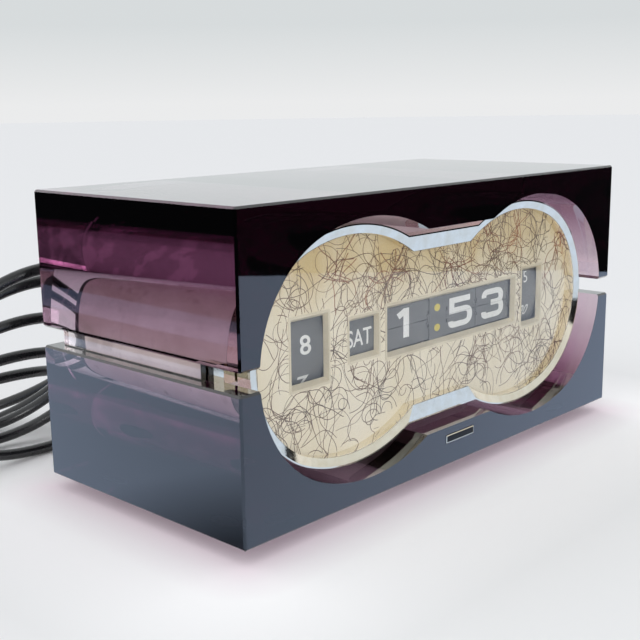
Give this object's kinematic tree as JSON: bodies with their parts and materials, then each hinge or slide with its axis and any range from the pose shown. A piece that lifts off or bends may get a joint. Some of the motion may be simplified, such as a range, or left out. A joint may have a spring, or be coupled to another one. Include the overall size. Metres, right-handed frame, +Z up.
{
  "type": "flip number clock",
  "caption": "Mains flip-number clock in a two-piece clear purple acrylic block with a figure-eight bore, bright bezel, cream face and number windows.",
  "frame": {"origin": "on the table, under the middle of the case, at the underside of the rubber feet", "axes": "+X to the right along the front as a reader sees it, +Y from the face to the back, +Z up"},
  "size_m": [0.247, 0.196, 0.105],
  "materials": {
    "purple_acrylic": "polished transparent amethyst acrylic",
    "clear_pink_acrylic": "polished clear pinkish acrylic",
    "chrome": "bright plated",
    "black_plate": "black enamel with a bright rim",
    "clear_lens": "clear polished sheet",
    "cream_face": "cream sheet with fine random brown threads",
    "cream_frame": "moulded cream plastic",
    "black_shell": "moulded black plastic",
    "white_shell": "moulded off-white plastic",
    "zinc_screws": "zinc plated",
    "black_rubber": "soft black rubber",
    "steel_plate": "plain sheet steel",
    "steel_axle": "ground steel",
    "grey_display": "satin charcoal with white figures",
    "zinc_can": "pressed can",
    "brass_gear": "machined",
    "copper_coil": "lacquered copper winding",
    "white_nylon": "moulded nylon",
    "black_cord": "glossy black vinyl twin lead",
    "black_plug": "moulded black vinyl",
    "brass_blades": "bright plated brass",
    "black_knob": "fluted black plastic"
  },
  "bodies": {
    "case": {"alarm_switch_body": "black_shell", "alarm_window_frame": "cream_frame", "back_plate": "steel_plate", "badge_plate": "black_plate", "bezel_ring": "chrome", "buzzer_coil": "copper_coil", "colon_plate": "grey_display", "cord_coil": "black_cord", "cord_lead": "black_cord", "cord_tail": "black_cord", "day_window_frame": "cream_frame", "face_plate": "cream_face", "front_lens": "clear_lens", "gear_studs": "steel_axle", "inner_left_plate": "steel_plate", "inner_right_plate": "steel_plate", "leaf_axle": "steel_axle", "left_side_strip": "clear_pink_acrylic", "left_spacer": "chrome", "lower_case_block": "purple_acrylic", "motor_body": "zinc_can", "outer_left_plate": "steel_plate", "outer_right_plate": "steel_plate", "plug_blades": "brass_blades", "plug_body": "black_plug", "pod_shell": "white_shell", "rear_cover": "black_shell", "rear_cover_screws": "zinc_screws", "right_side_strip": "clear_pink_acrylic", "right_spacer": "chrome", "rubber_feet": "black_rubber", "seconds_window_frame": "cream_frame", "strain_relief": "black_rubber", "time_window_frame": "cream_frame", "upper_case_block": "purple_acrylic"},
    "seconds": {"seconds_drum": "grey_display", "drum_axle": "steel_axle", "seconds_gear": "white_nylon", "seconds_pinion": "brass_gear", "setting_crown_gear": "white_nylon"},
    "rotor": {"motor_pinion": "brass_gear"},
    "transfer": {"transfer_gear": "white_nylon"},
    "idler": {"idler_gear": "white_nylon"},
    "units": {"units_wheel": "grey_display", "units_gear": "white_nylon", "units_leaves": "grey_display"},
    "units_leaf": {"units_falling_leaf": "grey_display"},
    "tens": {"tens_wheel": "grey_display", "tens_leaves": "grey_display"},
    "tens_leaf": {"tens_falling_leaf": "grey_display"},
    "hour": {"hour_wheel": "grey_display", "hour_leaves": "grey_display"},
    "hour_leaf": {"hour_falling_leaf": "grey_display"},
    "day": {"day_drum": "grey_display"},
    "alarm": {"alarm_drum": "grey_display"},
    "alarm_set": {"alarm_set_shaft": "steel_axle", "alarm_set_knob": "black_knob"},
    "time_set": {"time_set_shaft": "steel_axle", "time_set_knob": "black_knob"},
    "alarm_switch": {"alarm_switch_button": "cream_frame"}
  },
  "joints": [
    {"name": "seconds_spin", "type": "hinge", "parent": "case", "child": "seconds", "pos_m": [0.06, -0.009, 0.055], "axis": [1, 0, 0], "continuous": true},
    {"name": "motor_spin", "type": "hinge", "parent": "case", "child": "rotor", "pos_m": [0.075, 0.015, 0.055], "axis": [1, 0, 0], "continuous": true},
    {"name": "transfer_spin", "type": "hinge", "parent": "case", "child": "transfer", "pos_m": [0.056, -0.01764, 0.04348], "axis": [1, 0, 0], "continuous": true},
    {"name": "idler_spin", "type": "hinge", "parent": "case", "child": "idler", "pos_m": [0.056, -0.02384, 0.04673], "axis": [1, 0, 0], "continuous": true},
    {"name": "units_spin", "type": "hinge", "parent": "case", "child": "units", "pos_m": [0.041, -0.0291, 0.055], "axis": [1, 0, 0], "continuous": true},
    {"name": "tens_spin", "type": "hinge", "parent": "case", "child": "tens", "pos_m": [0.02, -0.0291, 0.055], "axis": [1, 0, 0], "continuous": true},
    {"name": "hour_spin", "type": "hinge", "parent": "case", "child": "hour", "pos_m": [-0.012, -0.0291, 0.055], "axis": [1, 0, 0], "continuous": true},
    {"name": "day_spin", "type": "hinge", "parent": "case", "child": "day", "pos_m": [-0.038, -0.009, 0.055], "axis": [1, 0, 0], "continuous": true},
    {"name": "time_set_spin", "type": "hinge", "parent": "case", "child": "time_set", "pos_m": [0.02206, 0.044, 0.055], "axis": [0, 1, 0], "continuous": true},
    {"name": "alarm_spin", "type": "hinge", "parent": "case", "child": "alarm", "pos_m": [-0.064, -0.009, 0.055], "axis": [1, 0, 0], "continuous": true},
    {"name": "alarm_set_spin", "type": "hinge", "parent": "case", "child": "alarm_set", "pos_m": [-0.05244, 0.044, 0.055], "axis": [0, 1, 0], "continuous": true},
    {"name": "hour_leaf_flip", "type": "hinge", "parent": "hour", "child": "hour_leaf", "pos_m": [-0.0123, -0.03451, 0.05645], "axis": [1, 0, 0], "range_deg": [0, 160]},
    {"name": "tens_leaf_flip", "type": "hinge", "parent": "tens", "child": "tens_leaf", "pos_m": [0.0202, -0.03451, 0.05645], "axis": [1, 0, 0], "range_deg": [0, 160]},
    {"name": "units_leaf_flip", "type": "hinge", "parent": "units", "child": "units_leaf", "pos_m": [0.041, -0.03443, 0.05673], "axis": [1, 0, 0], "range_deg": [0, 160]},
    {"name": "alarm_switch_slide", "type": "slide", "parent": "case", "child": "alarm_switch", "axis": [1, 0, 0], "range_m": [0, 0.006]}
  ],
  "couplings": [
    {"joint": "motor_spin", "follows": "seconds_spin", "ratio": -4},
    {"joint": "transfer_spin", "follows": "seconds_spin", "ratio": -0.2},
    {"joint": "idler_spin", "follows": "seconds_spin", "ratio": 0.13333},
    {"joint": "units_spin", "follows": "seconds_spin", "ratio": -0.1},
    {"joint": "tens_spin", "follows": "seconds_spin", "ratio": -0.0083333},
    {"joint": "hour_spin", "follows": "seconds_spin", "ratio": -0.0013889},
    {"joint": "day_spin", "follows": "seconds_spin", "ratio": 0.000099206},
    {"joint": "time_set_spin", "follows": "seconds_spin", "ratio": 4},
    {"joint": "alarm_set_spin", "follows": "alarm_spin", "ratio": 4}
  ]
}
